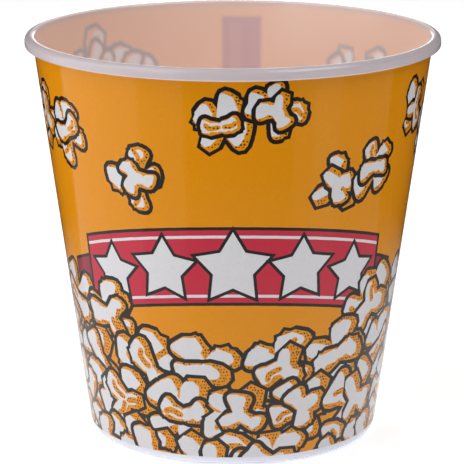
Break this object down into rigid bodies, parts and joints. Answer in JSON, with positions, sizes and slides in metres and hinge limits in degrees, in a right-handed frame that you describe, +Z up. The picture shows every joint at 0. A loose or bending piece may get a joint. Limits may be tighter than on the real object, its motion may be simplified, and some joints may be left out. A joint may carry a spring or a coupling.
{
  "type": "plastic popcorn bucket",
  "caption": "Round tapered plastic tub, open at the top, with a turned-over lip and a flat foot ring, for serving popcorn.",
  "frame": {"origin": "centre of the foot ring, on the surface that the bucket stands on", "axes": "+Z up along the bucket's axis; -Y is the front, where the print's banner is"},
  "size_m": [0.185, 0.185, 0.1813],
  "materials": {
    "printed_polypropylene": "satin gloss; milky plastic at the lip, the foot and inside, printed in orange, red, white and charcoal outside"
  },
  "bodies": {
    "root": {"bucket": "printed_polypropylene"}
  },
  "joints": []
}
